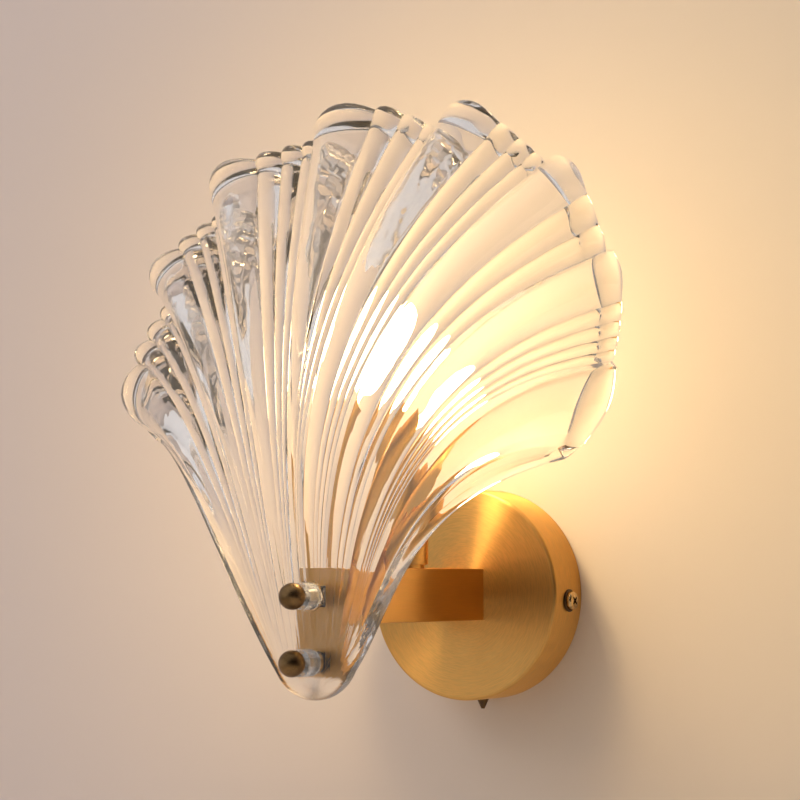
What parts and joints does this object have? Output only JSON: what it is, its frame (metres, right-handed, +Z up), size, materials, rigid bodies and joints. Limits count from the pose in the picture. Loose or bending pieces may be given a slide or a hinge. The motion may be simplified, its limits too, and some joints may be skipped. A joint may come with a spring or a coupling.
{
  "type": "wall sconce",
  "caption": "Wall light with a clear fluted glass shell held in front of an upright globe bulb by a square brass arm and a round wall canopy.",
  "frame": {"origin": "on the wall plane, at the middle of the canopy and of the two wall screw slots", "axes": "+X to the right as seen from the room, +Y into the wall, +Z up"},
  "size_m": [0.2585, 0.1703, 0.2778],
  "materials": {
    "satin_brass": "brushed satin, warm",
    "polished_brass": "polished, lightly handled",
    "aged_brass": "dark antique, polished",
    "dark_bronze": "dark bronze, satin",
    "plain_brass": "turned, unlacquered",
    "zinc_steel": "zinc plated",
    "clear_glass": "clear, fire polished",
    "opal_glass": "opal, lit from inside",
    "stem_glass": "clear",
    "black_glass": "moulded insulator glass",
    "filament_wire": "drawn wire, glowing",
    "nickel_cap": "rolled thread, plated",
    "solder": "soldered tip",
    "clear_plastic": "clear, turned",
    "black_rubber": "moulded, matt",
    "holder_ceramic": "steatite, unglazed",
    "white_nylon": "moulded",
    "brown_insulation": "silicone insulation",
    "blue_insulation": "silicone insulation",
    "green_insulation": "green with a yellow stripe"
  },
  "bodies": {
    "root": {"arm": "satin_brass", "arm_end_block": "plain_brass", "arm_nipple": "plain_brass", "arm_nipple_nut": "plain_brass", "arm_nipple_washer": "zinc_steel", "bottom_screw": "dark_bronze", "canopy": "satin_brass", "earth_lead": "green_insulation", "earth_lug": "zinc_steel", "earth_screw": "plain_brass", "front_plate": "satin_brass", "glass_shell": "clear_glass", "glass_studs": "plain_brass", "holder_body": "holder_ceramic", "holder_clamp_screws": "zinc_steel", "holder_contact": "plain_brass", "holder_nipple": "plain_brass", "holder_nut": "plain_brass", "holder_screw_shell": "plain_brass", "holder_sleeve": "satin_brass", "holder_terminals": "plain_brass", "holder_washer": "satin_brass", "hole_sleeves": "clear_plastic", "line_lead": "brown_insulation", "mounting_plate": "zinc_steel", "neutral_lead": "blue_insulation", "rear_pads": "black_rubber", "side_screw_washers": "dark_bronze", "side_screws": "polished_brass", "terminal_block": "white_nylon", "terminal_block_screw": "zinc_steel", "terminal_screws": "zinc_steel", "terminal_tubes": "plain_brass"},
    "upper_spacer": {"upper_spacer": "clear_plastic"},
    "upper_ball_nut": {"upper_ball_nut": "aged_brass"},
    "lower_spacer": {"lower_spacer": "clear_plastic"},
    "lower_ball_nut": {"lower_ball_nut": "aged_brass"},
    "bulb": {"bulb_globe": "opal_glass", "bulb_cap": "nickel_cap", "bulb_insulator": "black_glass", "bulb_contact": "solder", "bulb_stem": "stem_glass", "bulb_filament": "filament_wire"}
  },
  "joints": [
    {"name": "upper_spacer_slide", "type": "slide", "parent": "root", "child": "upper_spacer", "axis": [0, -1, 0], "range_m": [0, 0.007]},
    {"name": "upper_ball_nut_turn", "type": "hinge", "parent": "upper_spacer", "child": "upper_ball_nut", "pos_m": [0, -0.1595, 0], "axis": [0, -1, 0], "range_deg": [0, 3600]},
    {"name": "lower_spacer_slide", "type": "slide", "parent": "root", "child": "lower_spacer", "axis": [0, -1, 0], "range_m": [0, 0.007]},
    {"name": "lower_ball_nut_turn", "type": "hinge", "parent": "lower_spacer", "child": "lower_ball_nut", "pos_m": [0, -0.1595, -0.028], "axis": [0, -1, 0], "range_deg": [0, 3600]},
    {"name": "bulb_turn", "type": "hinge", "parent": "root", "child": "bulb", "pos_m": [0, -0.0815, 0.06], "axis": [0, 0, 1], "continuous": true}
  ],
  "couplings": [
    {"joint": "upper_spacer_slide", "follows": "upper_ball_nut_turn", "m_per_rad": 0.00011141},
    {"joint": "lower_spacer_slide", "follows": "lower_ball_nut_turn", "m_per_rad": 0.00011141}
  ]
}
